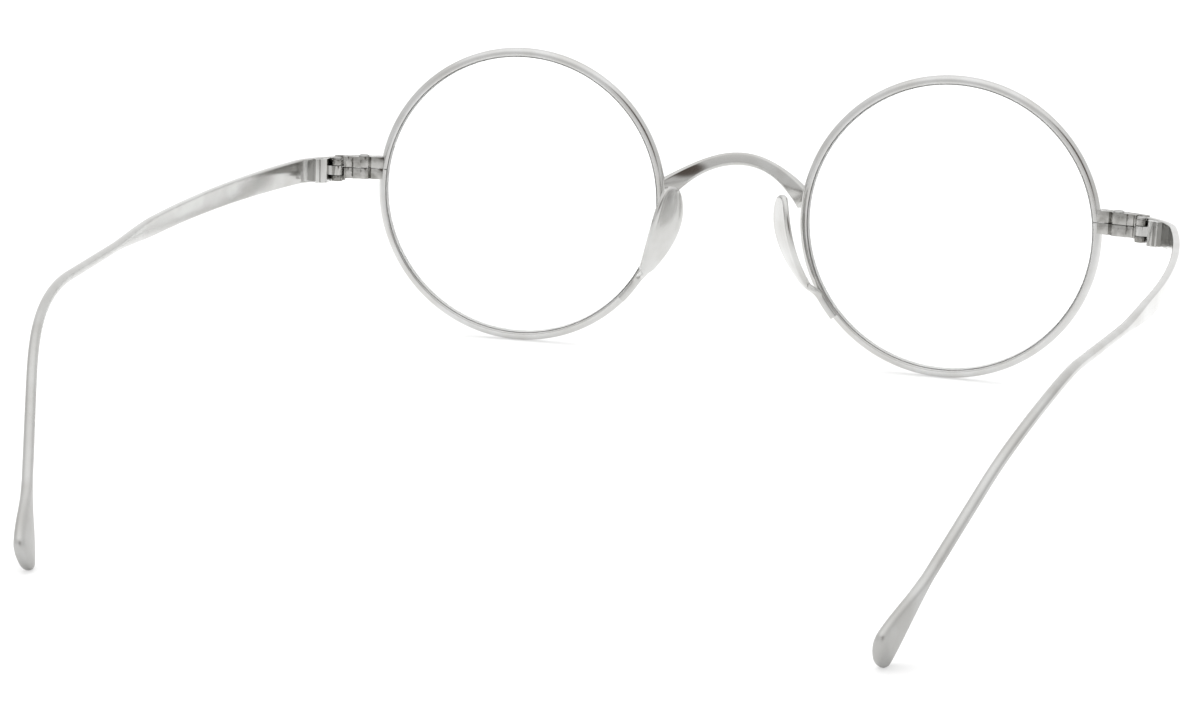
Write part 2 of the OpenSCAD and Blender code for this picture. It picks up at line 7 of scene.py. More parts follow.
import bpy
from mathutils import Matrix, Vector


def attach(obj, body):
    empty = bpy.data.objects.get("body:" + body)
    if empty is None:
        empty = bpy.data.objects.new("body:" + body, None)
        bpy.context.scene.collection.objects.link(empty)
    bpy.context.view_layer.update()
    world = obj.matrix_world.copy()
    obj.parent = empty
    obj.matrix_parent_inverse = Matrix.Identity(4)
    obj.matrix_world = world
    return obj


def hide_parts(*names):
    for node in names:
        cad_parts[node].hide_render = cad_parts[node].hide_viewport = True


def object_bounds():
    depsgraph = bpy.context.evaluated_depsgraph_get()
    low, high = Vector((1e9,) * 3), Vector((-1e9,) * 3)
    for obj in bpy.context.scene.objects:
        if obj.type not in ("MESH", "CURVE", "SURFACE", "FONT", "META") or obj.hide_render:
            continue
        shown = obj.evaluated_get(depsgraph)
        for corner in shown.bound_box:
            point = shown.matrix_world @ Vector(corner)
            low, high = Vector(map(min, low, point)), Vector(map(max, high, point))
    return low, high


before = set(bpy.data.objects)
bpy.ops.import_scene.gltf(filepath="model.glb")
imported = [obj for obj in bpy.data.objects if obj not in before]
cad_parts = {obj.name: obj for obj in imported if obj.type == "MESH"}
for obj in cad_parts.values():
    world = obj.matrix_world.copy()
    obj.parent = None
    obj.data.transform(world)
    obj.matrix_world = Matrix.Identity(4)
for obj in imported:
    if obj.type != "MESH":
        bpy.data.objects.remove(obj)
packed_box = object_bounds()

# %% [markdown]
# Lengths below are in millimetres, as on a maker's drawing, and each piece is scaled to
# metres once, when it is finished. Nearly all named values are the ones of the packed
# model. Two are not: the saw cut is drawn as the tightened screw leaves it, nearly closed,
# and the paddle at a temple's end is a little thinner and shorter than packed, and rolled.
# Packing centred the frame over the origin, and MIDDLE_Y is how far that moved it.

# %% Measures of the front
import math

import bmesh
import bpy
from mathutils import Matrix, Vector

MM = 0.001
LENS_SIZE = 44.0
BRIDGE_SIZE = 22.0
EYEWIRE_WALL = 0.65
GROOVE_DEPTH = 0.6
GROOVE_MOUTH = 0.9
EYEWIRE_WIDTH = 1.8
SAW_CUT = 0.14
FACE_FORM = math.radians(2.75)
MIDDLE_Y = 66.764
GROOVE_R = LENS_SIZE / 2
EYEWIRE_IN = GROOVE_R - GROOVE_DEPTH
EYEWIRE_OUT = GROOVE_R + EYEWIRE_WALL
LENS_X = (LENS_SIZE + BRIDGE_SIZE) / 2
LENS_Z = EYEWIRE_OUT
SIDES = {"left": 1, "right": -1}
print("lens centres at", (LENS_X, LENS_Z), "eyewire from", EYEWIRE_IN, "to", EYEWIRE_OUT)

# %% [markdown]
# Both halves of the frame mirror each other, so each piece is made once, on the left, and
# finished for either side. Mirroring turns a shape inside out, which is why the
# normals are recalculated there. Edges that turn more than a given angle stay crisp.

# %% Finish a piece
def crisp_edges(bm, angle):
    """Shades faces smooth and keeps edges that turn further than angle sharp."""
    for face in bm.faces:
        face.smooth = True
    for edge in bm.edges:
        edge.smooth = len(edge.link_faces) == 2 and edge.calc_face_angle() < math.radians(angle)


def finish_piece(name, bm, side, material, body, nodes, crisp):
    """Scales a left-hand shape to metres, mirrors it for the right, hangs it on its body and
    hides the imported parts it replaces.
    """
    scale = Matrix.Diagonal((MM * side, MM, MM, 1.0))
    bmesh.ops.transform(bm, matrix=scale, verts=bm.verts)
    bmesh.ops.recalc_face_normals(bm, faces=bm.faces)
    crisp_edges(bm, crisp)
    mesh = bpy.data.meshes.new(name)
    bm.to_mesh(mesh)
    bm.free()
    piece = bpy.data.objects.new(name, mesh)
    bpy.context.scene.collection.objects.link(piece)
    mesh.materials.append(material)
    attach(piece, body)
    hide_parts(*nodes)
    print(name, len(mesh.polygons), "faces on", body)
    return piece


# %% [markdown]
# ## The polished metal
# The real metal is polished by hand on a mop, so a strip that looks flat still bends its
# reflections softly, and hairlines from the last wheel run all over it. One node group
# makes this surface, and each metal places it with its own values. The helpers come
# first: each adds one kind of node and wires it up.

# %% Node helpers
def feed(tree, socket, source):
    """Links a socket to another node's output, or gives it a value."""
    if isinstance(source, bpy.types.NodeSocket):
        tree.links.new(source, socket)
    else:
        socket.default_value = source


def add_node(tree, kind, label, sockets=None, **properties):
    """Adds a node, sets its properties, and feeds the sockets that are given."""
    node = tree.nodes.new(kind)
    node.label = label
    for key, value in properties.items():
        setattr(node, key, value)
    for key, source in (sockets or {}).items():
        feed(tree, node.inputs[key], source)
    return node


def add_math(tree, operation, label, *terms):
    """The result of one operation on numbers or on other nodes' outputs."""
    node = add_node(tree, "ShaderNodeMath", label, dict(enumerate(terms)), operation=operation)
    return node.outputs["Value"]


def add_range(tree, value, old, new, label, kind="SMOOTHSTEP"):
    """Carries a value from an old range to a new one, held at both ends."""
    node = add_node(tree, "ShaderNodeMapRange", label,
                    {"Value": value, "From Min": old[0], "From Max": old[1],
                     "To Min": new[0], "To Max": new[1]}, interpolation_type=kind)
    return node.outputs["Result"]


def mix_colors(tree, factor, first, second, label):
    """Goes from the first colour to the second where the factor is 1."""
    node = add_node(tree, "ShaderNodeMix", label, {"Factor": factor, 6: first, 7: second},
                    data_type="RGBA")
    return node.outputs[2]


# %% Places, noises and groups
EVENLY = (1, 1, 1)


def place_along(tree, axis, coordinates="Object"):
    """A point's place along one axis of the coordinates."""
    where = add_node(tree, "ShaderNodeTexCoord", "place")
    split = add_node(tree, "ShaderNodeSeparateXYZ", "place along " + axis,
                     {"Vector": where.outputs[coordinates]})
    return split.outputs[axis]


def stretched_noise(tree, stretch, scale, detail, label):
    """Noise on object coordinates, drawn out along one direction."""
    where = add_node(tree, "ShaderNodeTexCoord", label + " place")
    mapping = add_node(tree, "ShaderNodeMapping", label + " direction",
                       {"Vector": where.outputs["Object"], "Scale": stretch})
    noise = add_node(tree, "ShaderNodeTexNoise", label,
                     {"Vector": mapping.outputs["Vector"], "Scale": scale, "Detail": detail})
    return noise.outputs["Fac"]


def add_group(name, inputs, outputs):
    """Starts a node group with typed inputs and outputs."""
    group = bpy.data.node_groups.new(name, "ShaderNodeTree")
    for label, kind, value in inputs:
        made = group.interface.new_socket(label, in_out="INPUT", socket_type=kind)
        made.default_value = value
    for label, kind in outputs:
        group.interface.new_socket(label, in_out="OUTPUT", socket_type=kind)
    start = group.nodes.new("NodeGroupInput")
    end = group.nodes.new("NodeGroupOutput")
    return group, start.outputs, end.inputs


def new_material(name):
    """A material with its node tree and its main shader."""
    material = bpy.data.materials.new(name)
    material.use_nodes = True
    return material, material.node_tree, material.node_tree.nodes["Principled BSDF"]


# %% The hand polish
WAVE_SCALE, PATCH_SCALE = 95.0, 210.0
WAVE_HEIGHT, HAIRLINE_HEIGHT = 0.00006, 0.0000015


def make_hand_polish():
    """Softly waved surface with hairlines, faint haze and a little warmth."""
    group, given, made = add_group(
        "hand_polish",
        [("Tint", "NodeSocketColor", (0.6, 0.6, 0.6, 1)),
         ("Second tint", "NodeSocketColor", (0.6, 0.6, 0.6, 1)),
         ("Roughness", "NodeSocketFloat", 0.1),
         ("Haze", "NodeSocketFloat", 0.1),
         ("Waves", "NodeSocketFloat", 1.0),
         ("Wave scale", "NodeSocketFloat", WAVE_SCALE),
         ("Patch scale", "NodeSocketFloat", PATCH_SCALE),
         ("Hairlines", "NodeSocketFloat", 1.0)],
        [("Color", "NodeSocketColor"), ("Roughness", "NodeSocketFloat"),
         ("Normal", "NodeSocketVector")])
    waves = stretched_noise(group, EVENLY, given["Wave scale"], 1.5, "soft waves")
    haze = stretched_noise(group, EVENLY, given["Patch scale"], 4, "haze")
    along = stretched_noise(group, (1, 0.08, 1), 5200, 2, "hairlines along")
    across = stretched_noise(group, (0.2, 1, 0.3), 4300, 2, "hairlines across")
    patches = add_range(group, haze, (0.36, 0.64), (0, 1), "patches", "LINEAR")
    tint = mix_colors(group, patches, given["Tint"], given["Second tint"], "tint")
    roughness = add_math(group, "MULTIPLY_ADD", "haze spread",
                         haze, given["Haze"], given["Roughness"])
    hairlines = add_math(group, "ADD", "hairlines", along, across)
    waved = add_node(group, "ShaderNodeBump", "waved",
                     {"Strength": given["Waves"], "Distance": WAVE_HEIGHT, "Height": waves})
    lined = add_node(group, "ShaderNodeBump", "hairlined",
                     {"Strength": given["Hairlines"], "Distance": HAIRLINE_HEIGHT,
                      "Height": hairlines, "Normal": waved.outputs["Normal"]})
    feed(group, made["Color"], tint)
    feed(group, made["Roughness"], roughness)
    feed(group, made["Normal"], lined.outputs["Normal"])
    return group


HAND_POLISH = make_hand_polish()
print("group", HAND_POLISH.name, "with", len(HAND_POLISH.nodes), "nodes")

# %% The metals
def make_metal(name, tint, second, roughness, haze, waves, hairlines,
               wave_scale=WAVE_SCALE, patch_scale=PATCH_SCALE):
    """A metal with the hand polish at its own strengths."""
    material, tree, shader = new_material(name)
    polish = add_node(
        tree, "ShaderNodeGroup", "hand polish",
        {"Tint": (*tint, 1), "Second tint": (*second, 1), "Roughness": roughness,
         "Haze": haze, "Waves": waves, "Wave scale": wave_scale,
         "Patch scale": patch_scale, "Hairlines": hairlines}, node_tree=HAND_POLISH)
    shader.inputs["Metallic"].default_value = 1.0
    feed(tree, shader.inputs["Base Color"], polish.outputs["Color"])
    feed(tree, shader.inputs["Roughness"], polish.outputs["Roughness"])
    feed(tree, shader.inputs["Normal"], polish.outputs["Normal"])
    return material


BRIGHT = {"tint": (0.53, 0.53, 0.52), "second": (0.47, 0.465, 0.45),
          "roughness": 0.08, "haze": 0.10, "waves": 0.3, "hairlines": 0.6}
POLISHED = make_metal("polished_metal", **BRIGHT)
TEMPLE_METAL = make_metal("temple_metal", **BRIGHT)
EYEWIRE_METAL = make_metal("eyewire_metal", (0.60, 0.60, 0.595), (0.54, 0.535, 0.52),
                           roughness=0.12, haze=0.12, waves=0.4, hairlines=0.8)
PAD_METAL = make_metal("pad_metal", (0.57, 0.57, 0.56), (0.51, 0.505, 0.49),
                       roughness=0.14, haze=0.12, waves=0.3, hairlines=0.6)
BLOCK_METAL = make_metal("block_metal", (0.46, 0.455, 0.44), (0.25, 0.245, 0.23),
                         roughness=0.10, haze=0.12, waves=1.0, hairlines=1.0,
                         wave_scale=330.0, patch_scale=600.0)
SCREW_STEEL = make_metal("screw_steel", (0.44, 0.44, 0.43), (0.36, 0.355, 0.345),
                         roughness=0.22, haze=0.18, waves=0.2, hairlines=1.0)
print("metals", POLISHED.name, TEMPLE_METAL.name, EYEWIRE_METAL.name, PAD_METAL.name,
      BLOCK_METAL.name, SCREW_STEEL.name)


# %% [markdown]
# A temple's end is handled most, and there the mirror polish has gone softer. The same
# metal therefore gets rougher along the temple instead of changing at a line.

# %% Satin towards the tips
SATIN_FROM, SATIN_TO = 45.0, 70.0
SATIN_ROUGHNESS = 0.24


def add_satin(material):
    """Roughens a metal along Y, on top of its own haze."""
    tree = material.node_tree
    roughness = tree.nodes["Principled BSDF"].inputs["Roughness"]
    own = roughness.links[0].from_socket
    satin = add_range(tree, place_along(tree, "Y"), (SATIN_FROM * MM, SATIN_TO * MM),
                      (0, SATIN_ROUGHNESS), "satin")
    feed(tree, roughness, add_math(tree, "ADD", "haze and satin", own, satin))


add_satin(TEMPLE_METAL)
print(TEMPLE_METAL.name, "turns satin from", SATIN_FROM, "to", SATIN_TO)

# %% [markdown]
# ## The eyewires
# An eyewire is a grooved wire bent into a ring and sawn open at the temple side. It could
# be a torus, but its section is a dome outside and a V-groove inside, so that section is
# drawn once and spun round the lens's axis. The spin stops short of a full turn, and its
# two ends are the faces of the saw cut.

# %% Section of the eyewire
EYEWIRE_LIP = 0.3
DOME_START = 0.4


def arc(center, rx, ry, start, end, steps):
    """Points on part of an ellipse, in degrees."""
    turns = [math.radians(start + (end - start) * i / steps) for i in range(steps + 1)]
    return [(center[0] + rx * math.cos(a), center[1] + ry * math.sin(a)) for a in turns]


def eyewire_section():
    """Radius and depth of each point round the wire's section."""
    half = EYEWIRE_WIDTH / 2
    lip = EYEWIRE_LIP
    waist = EYEWIRE_IN + DOME_START
    mouth = GROOVE_MOUTH / 2
    dome = arc((waist, half), EYEWIRE_OUT - waist, half, -90, 90, 20)
    front_lip = arc((EYEWIRE_IN + lip, EYEWIRE_WIDTH - lip), lip, lip, 90, 180, 6)
    groove = [(EYEWIRE_IN, half + mouth), (GROOVE_R, half + mouth / 3),
              (GROOVE_R, half - mouth / 3), (EYEWIRE_IN, half - mouth)]
    back_lip = arc((EYEWIRE_IN + lip, lip), lip, lip, 180, 270, 6)
    return dome + front_lip + groove + back_lip


def lens_plane():
    """Matrix from a lens's own axes, front upwards, to the frame, in millimetres."""
    place = Matrix.Translation((LENS_X, -MIDDLE_Y, LENS_Z))
    return place @ Matrix.Rotation(FACE_FORM, 4, "Z") @ Matrix.Rotation(math.pi / 2, 4, "X")


print("eyewire section has", len(eyewire_section()), "points")

# %% Spin the eyewires
BLOCK_RISE = 2.85
RING_STEPS = 240
END_REACH = SAW_CUT * 0.6


def make_eyewire():
    """The spun ring, its ends moved to the flat faces of the saw cut."""
    bm = bmesh.new()
    middle = math.asin(BLOCK_RISE / EYEWIRE_OUT)
    gap = SAW_CUT / EYEWIRE_OUT
    turn = Matrix.Rotation(middle + gap / 2, 4, "Z")
    ring = [bm.verts.new(turn @ Vector((r, 0, depth))) for r, depth in eyewire_section()]
    cap = bm.faces.new(ring)
    bmesh.ops.spin(bm, geom=[cap], cent=(0, 0, 0), axis=(0, 0, 1),
                   angle=2 * math.pi - gap, steps=RING_STEPS, use_merge=False)
    for vert in bm.verts:
        height = vert.co.y - BLOCK_RISE
        if vert.co.x > 0 and abs(height) < END_REACH:
            radius = math.hypot(vert.co.x, vert.co.y)
            vert.co.y = BLOCK_RISE + math.copysign(SAW_CUT / 2, height)
            vert.co.x = math.sqrt(radius ** 2 - vert.co.y ** 2)
    bmesh.ops.transform(bm, matrix=lens_plane(), verts=bm.verts)
    return bm


for side_name, side in SIDES.items():
    finish_piece("ring_" + side_name, make_eyewire(), side, EYEWIRE_METAL, "front",
                 ["eyewire_" + side_name], crisp=50)


# %% [markdown]
# ## The demonstration lenses
# Each lens is a thin meniscus with a bevelled edge that sits in the groove. Its half
# section is spun a full turn, which closes it on the axis. Slices of two big spheres
# would give the curves but not the bevel, and a clear lens only shows by its edge.

# %% Spin the lenses
LENS_THICKNESS = 1.5
LENS_CURVE = 130.0
SEAT_GAP = 0.02
FACE_INSET = 0.1
FACE_STEPS = 16
LENS_STEPS = 160
WELD_REACH = 0.0005


def bevel_half(radius):
    """Half the thickness of the lens's bevel, parallel to the groove's wall."""
    slope = GROOVE_MOUTH / 3 / GROOVE_DEPTH
    return GROOVE_MOUTH / 6 + slope * (GROOVE_R - radius) - 1.5 * SEAT_GAP


def make_lens():
    """Front and back curves, the shoulder and the bevel; the ground edge is material 1."""
    face_r = EYEWIRE_IN - FACE_INSET
    edge_r = GROOVE_R - SEAT_GAP
    sag = LENS_CURVE - math.sqrt(LENS_CURVE ** 2 - face_r ** 2)

    def curve(radius, offset):
        """Height of a polished face at a radius."""
        return math.sqrt(LENS_CURVE ** 2 - radius ** 2) - LENS_CURVE + sag + offset

    radii = [face_r * i / FACE_STEPS for i in range(FACE_STEPS + 1)]
    half = LENS_THICKNESS / 2
    front = [(r, curve(r, half)) for r in radii]
    back = [(r, curve(r, -half)) for r in reversed(radii)]
    edge = [(face_r, bevel_half(face_r)), (edge_r, bevel_half(edge_r)),
            (edge_r, -bevel_half(edge_r)), (face_r, -bevel_half(face_r))]
    bm = bmesh.new()
    line = [bm.verts.new((r, 0, h + EYEWIRE_WIDTH / 2)) for r, h in front + edge + back]
    edges = [bm.edges.new(pair) for pair in zip(line, line[1:])]
    bmesh.ops.spin(bm, geom=edges, cent=(0, 0, 0), axis=(0, 0, 1),
                   angle=2 * math.pi, steps=LENS_STEPS, use_merge=True)
    bmesh.ops.remove_doubles(bm, verts=bm.verts, dist=WELD_REACH)
    for face in bm.faces:
        innermost = min(math.hypot(vert.co.x, vert.co.y) for vert in face.verts)
        face.material_index = int(innermost > face_r - WELD_REACH)
    bmesh.ops.transform(bm, matrix=lens_plane(), verts=bm.verts)
    return bm


# %% [markdown]
# The lens is clear cast plastic. Glass would look the same here; what matters is that it
# casts a light shadow, so shadow rays pass through it and the rest refract. Its bevel is
# cut on a grinding wheel and left matt, which is why the edge shows as a thin pale line.

# %% Clear lens material
def make_lens_material():
    """Clear plastic with a trace of dust, whose shadow stays light."""
    material, tree, shader = new_material("clear_lens")
    shader.inputs["Metallic"].default_value = 0.0
    shader.inputs["Transmission Weight"].default_value = 1.0
    shader.inputs["IOR"].default_value = 1.49
    shader.inputs["Base Color"].default_value = (0.985, 0.99, 0.988, 1)
    dust = stretched_noise(tree, EVENLY, 380, 3, "dust")
    film = add_range(tree, dust, (0.55, 0.8), (0, 0.015), "thin film of dust", "LINEAR")
    feed(tree, shader.inputs["Roughness"], film)
    light = add_node(tree, "ShaderNodeBsdfTransparent", "light through the lens",
                     {"Color": (0.94, 0.945, 0.943, 1)})
    path = add_node(tree, "ShaderNodeLightPath", "kind of ray")
    mixed = add_node(tree, "ShaderNodeMixShader", "lens or light",
                     {"Fac": path.outputs["Is Shadow Ray"], 1: shader.outputs["BSDF"],
                      2: light.outputs["BSDF"]})
    feed(tree, tree.nodes["Material Output"].inputs["Surface"], mixed.outputs["Shader"])
    return material


# %% [markdown]
# The ground edge of a lens is matt, and so is the moulded plastic in the hinges. Both have
# two close shades and a fine tooth, drawn out one way where a wheel has cut them. One node
# group makes this grain, and each material places it with its own values.

# %% Matt grain
GRAIN_HEIGHT = 0.000004


def make_matt_grain():
    """Two shades and a fine tooth, both from one noise."""
    group, given, made = add_group(
        "matt_grain",
        [("Shade", "NodeSocketColor", (0.5, 0.5, 0.5, 1)),
         ("Second shade", "NodeSocketColor", (0.5, 0.5, 0.5, 1)),
         ("Stretch", "NodeSocketVector", EVENLY),
         ("Scale", "NodeSocketFloat", 2400.0),
         ("Tooth", "NodeSocketFloat", 0.5)],
        [("Color", "NodeSocketColor"), ("Normal", "NodeSocketVector")])
    grain = stretched_noise(group, given["Stretch"], given["Scale"], 3, "grain")
    shade = mix_colors(group, grain, given["Shade"], given["Second shade"], "shade")
    tooth = add_node(group, "ShaderNodeBump", "tooth",
                     {"Strength": given["Tooth"], "Distance": GRAIN_HEIGHT, "Height": grain})
    feed(group, made["Color"], shade)
    feed(group, made["Normal"], tooth.outputs["Normal"])
    return group


MATT_GRAIN = make_matt_grain()


def make_matt(name, shade, second, stretch, scale, tooth, roughness):
    """A matt material with the grain at its own strength."""
    material, tree, shader = new_material(name)
    grain = add_node(tree, "ShaderNodeGroup", "matt grain",
                     {"Shade": (*shade, 1), "Second shade": (*second, 1),
                      "Stretch": stretch, "Scale": scale, "Tooth": tooth},
                     node_tree=MATT_GRAIN)
    shader.inputs["Roughness"].default_value = roughness
    feed(tree, shader.inputs["Base Color"], grain.outputs["Color"])
    feed(tree, shader.inputs["Normal"], grain.outputs["Normal"])
    return material


print("group", MATT_GRAIN.name, "with", len(MATT_GRAIN.nodes), "nodes")

# %% Lenses with their ground edges
CLEAR_LENS = make_lens_material()
GROUND_EDGE = make_matt("ground_lens_edge", (0.80, 0.80, 0.79), (0.92, 0.92, 0.91),
                        (1, 0.2, 1), scale=2400, tooth=0.6, roughness=0.6)
for side_name, side in SIDES.items():
    lens_piece = finish_piece("lens_" + side_name, make_lens(), side, CLEAR_LENS, "front",
                              ["demo_lens_" + side_name], crisp=25)
    lens_piece.data.materials.append(GROUND_EDGE)


# %% [markdown]
# ## Sweeping a strip
# Bridge, pads and temples are strips whose section changes along a bent line. Curves with
# a bevel object keep one section, so instead a circle is placed at each station, shaped
# to the section there, and each ring is bridged to the next one.

# %% Sweep helper
def mix(a, b, t):
    """The value a share t of the way from a to b."""
    return a + (b - a) * t


def ramp(x, a, b):
    """Runs evenly from 0 at a to 1 at b."""
    return min(max((x - a) / (b - a), 0), 1)


def ease(x, a, b):
    """Runs from 0 at a to 1 at b, slowly at both ends."""
    t = ramp(x, a, b)
    return t * t * (3 - 2 * t)


CORNER_STEPS = 5
LARGEST_CORNER = 0.98


def rounded(height, thickness, corner):
    """Points of a rounded rectangle, its corners in even steps."""
    corner = min(corner, height / 2 * LARGEST_CORNER, thickness / 2 * LARGEST_CORNER)
    points = []
    for quarter in range(4):
        ends = ((1, 1), (-1, 1), (-1, -1), (1, -1))[quarter]
        at = (ends[0] * (height / 2 - corner), ends[1] * (thickness / 2 - corner))
        points += arc(at, corner, corner, 90 * quarter, 90 * (quarter + 1), CORNER_STEPS)
    return points


def sweep(rings):
    """A closed skin through rings of points, with flat ends."""
    bm = bmesh.new()
    loops = []
    for points in rings:
        made = bmesh.ops.create_circle(bm, segments=len(points), radius=1, cap_ends=False)
        for vert, point in zip(made["verts"], points):
            vert.co = point
        loops.append(list({edge for vert in made["verts"] for edge in vert.link_edges}))
    for near, far in zip(loops, loops[1:]):
        bmesh.ops.bridge_loops(bm, edges=near + far)
    bmesh.ops.holes_fill(bm, edges=loops[0] + loops[-1])
    return bm


def lay(flat, at, up, across):
    """Places a flat section at a point."""
    return [at + up * x + across * y for x, y in flat]


print("each corner of a strip has", CORNER_STEPS, "steps")

# %% [markdown]
# ## The bridge
# The bridge is one strip, bowed forward over the nose and flared where it is brazed to
# the eyewires. Its crown leans forward. A flat plate could be cut out and bent, but this
# strip widens and leans on its way, so its section is worked out at each station.

# %% Sweep the bridge
BRIDGE_FOOT = 2.3
BRIDGE_RISE = 7.1
BRIDGE_BOW = 4.6
BRIDGE_THICKNESS = 1.2
BRIDGE_WIDTH = 1.9
BRIDGE_FOOT_WIDTH = 3.5
BRIDGE_LEAN = 22.0
BRIDGE_CORNER = 0.42
BRIDGE_STEPS = 96
FOOT_END = 0.992
FOOT_SINK = 0.35
FOOT_REACH = math.sqrt(EYEWIRE_OUT ** 2 - BRIDGE_FOOT ** 2)
FOOT_X = LENS_X - FOOT_REACH * math.cos(FACE_FORM) + FOOT_SINK
FOOT_Y = -EYEWIRE_OUT * math.sin(FACE_FORM) - EYEWIRE_WIDTH + BRIDGE_THICKNESS / 2


def bridge_ring(u):
    """Section of the bridge at u, from -1 at the right foot to 1 at the left."""
    rise = BRIDGE_RISE - BRIDGE_FOOT
    at = Vector((FOOT_X * u, FOOT_Y - BRIDGE_BOW * (1 - u * u) - MIDDLE_Y,
                 LENS_Z + BRIDGE_FOOT + rise * (1 - u * u)))
    along = Vector((FOOT_X, 2 * BRIDGE_BOW * u, -2 * rise * u)).normalized()
    lean = math.radians(BRIDGE_LEAN * (1 - u * u))
    up = Vector((0, -math.sin(lean), math.cos(lean)))
    up = (up - along * up.dot(along)).normalized()
    width = mix(BRIDGE_WIDTH, BRIDGE_FOOT_WIDTH, u ** 4)
    flat = rounded(width, BRIDGE_THICKNESS, BRIDGE_CORNER)
    return lay(flat, at, up, along.cross(up))


bridge_strip = sweep([bridge_ring(mix(-FOOT_END, FOOT_END, i / BRIDGE_STEPS))
                      for i in range(BRIDGE_STEPS + 1)])
finish_piece("bridge_strip", bridge_strip, 1, POLISHED, "front",
             ["bridge"], crisp=40)

# %% [markdown]
# ## The nose pads
# Each pad is a metal leaf: a crowned oval, drawn out below into a neck and a thin strip
# that is brazed along the back of the eyewire. It could be pinched out of a flattened
# ball, but a sweep keeps width and thickness in hand from the leaf to the strip. Its
# middle line is an even curve down the face, then a smooth join to the ring.

# %% Middle line of a pad
PAD_WIDTH = 6.0
PAD_THICKNESS = 1.1
PAD_TOP = 3.6
PAD_LENGTH = 13.0
PAD_WIDEST = 5.8
PAD_FADE = 8.8
PAD_INSET = 2.6
PAD_REACH = BRIDGE_SIZE / 2 - PAD_INSET
PAD_SETBACK = 3.2
PAD_CURVE = 0.0255
PAD_NEAREST = 0.8
PAD_BACKMOST = PAD_WIDEST - 0.5
STRIP_WIDTH = 1.1
STRIP_THICKNESS = 0.75
STRIP_SINK = 0.1
STRIP_R = (EYEWIRE_IN + EYEWIRE_LIP + EYEWIRE_OUT) / 2
STRIP_LEAVE = 33.0
STRIP_END = 42.0
NECK_PULL = 0.4


def on_eyewire(degrees):
    """A point on the back of the eyewire, below the nose."""
    angle = math.radians(degrees)
    c = -STRIP_R * math.cos(angle)
    return Vector((LENS_X + c * math.cos(FACE_FORM),
                   c * math.sin(FACE_FORM) + STRIP_THICKNESS / 2 - STRIP_SINK,
                   LENS_Z - STRIP_R * math.sin(angle)))


def pad_face(s):
    """A point on the face, s down from the pad's top."""
    return Vector((PAD_REACH + PAD_CURVE * (s - PAD_NEAREST) ** 2,
                   PAD_SETBACK - PAD_CURVE * (s - PAD_BACKMOST) ** 2,
                   LENS_Z + PAD_TOP - s))


def bezier(a, b, c, d, t):
    """A point on the even curve from a to d, pulled towards b and c."""
    return a * (1 - t) ** 3 + b * 3 * t * (1 - t) ** 2 + c * 3 * t * t * (1 - t) + d * t ** 3


def pad_point(t):
    """Point at t: down the face to 1, along the neck to 2, along the strip to 3."""
    if t < 1:
        return pad_face(PAD_LENGTH * t)
    low, leave = pad_face(PAD_LENGTH), on_eyewire(STRIP_LEAVE)
    if t >= 2:
        return on_eyewire(mix(STRIP_LEAVE, STRIP_END, t - 2))
    low_way = (low - pad_face(PAD_LENGTH - 0.1)).normalized()
    strip_way = (on_eyewire(STRIP_LEAVE + 1) - leave).normalized()
    reach = (leave - low).length * NECK_PULL
    return bezier(low, low + low_way * reach, leave - strip_way * reach, leave, t - 1)


# %% [markdown]
# The face of a real pad is pressed slightly hollow inside a rounded lip, and the lip
# catches the light. The hollow is part of the section, so that it follows the pad's
# outline by itself, and it fades out before the neck.

# %% Section of a pad
PAD_TURN = 57.0
STRIP_TILT = 0.4
TOP_ROUNDNESS = 0.62
TOP_END = 0.55
TOP_THINNING = 0.55
DISH_DEPTH = 0.09
LIP_FROM, LIP_TO = 0.60, 0.86
PAD_POINTS = 36


def pad_section(half, thickness, dish):
    """A full oval whose face is dished inside a rounded lip, its back slightly crowned."""
    points = []
    for i in range(PAD_POINTS):
        a = math.radians(360 / PAD_POINTS * (i + 0.5))
        x = math.copysign(abs(math.cos(a)) ** 0.75, math.cos(a))
        y = math.copysign(abs(math.sin(a)) ** 0.5, math.sin(a))
        hollow = dish * (1 - ease(abs(x), LIP_FROM, LIP_TO)) if y > 0 else 0
        points.append((half * x, thickness / 2 * y - hollow))
    return points


def pad_ring(t):
    """Section of the pad at t, turned back from the nose and then flat on the eyewire."""
    ahead, behind = pad_point(min(t + 0.01, 3)), pad_point(max(t - 0.01, 0))
    down = (ahead - behind).normalized()
    turn = math.radians(mix(PAD_TURN, 0, ease(t, 0.9, 2)))
    wide = Vector((math.cos(turn), math.sin(turn), STRIP_TILT * ease(t, 1, 2)))
    across = (wide - down * wide.dot(down)).normalized()
    face = across.cross(down)
    s = t * PAD_LENGTH
    top = max(0.0002, 1 - (1 - min(s / PAD_WIDEST, 1)) ** 2) ** TOP_ROUNDNESS
    low = 1 - ramp(s, PAD_WIDEST, PAD_WIDEST + PAD_FADE) ** 2
    half = mix(STRIP_WIDTH, PAD_WIDTH, top if s < PAD_WIDEST else low) / 2
    thick = mix(PAD_THICKNESS, STRIP_THICKNESS, ease(t, 0.8, 1.9))
    end_round = 1 - TOP_THINNING * (1 - ramp(s, 0, TOP_END)) ** 2
    dish = DISH_DEPTH * ease(s, 0.35, 1.1) * (1 - ease(t, 0.65, 1.0))
    at = pad_point(t) - Vector((0, MIDDLE_Y, 0))
    return lay(pad_section(half, thick * end_round, dish), at, across, face)


# %% Sweep the pads
TOP_SHARE = 0.06


def pad_stations():
    """Stations close together at the round top, wider apart down the strip."""
    top = [TOP_SHARE * (i / 12) ** 2 for i in range(12)]
    face = [mix(TOP_SHARE, 1, i / 30) for i in range(30)]
    neck = [1 + i / 16 for i in range(16)]
    strip = [2 + i / 8 for i in range(9)]
    return top + face + neck + strip


for side_name, side in SIDES.items():
    pad = sweep([pad_ring(t) for t in pad_stations()])
    finish_piece("pad_" + side_name, pad, side, PAD_METAL, "front",
                 ["nose_pad_" + side_name], crisp=46)

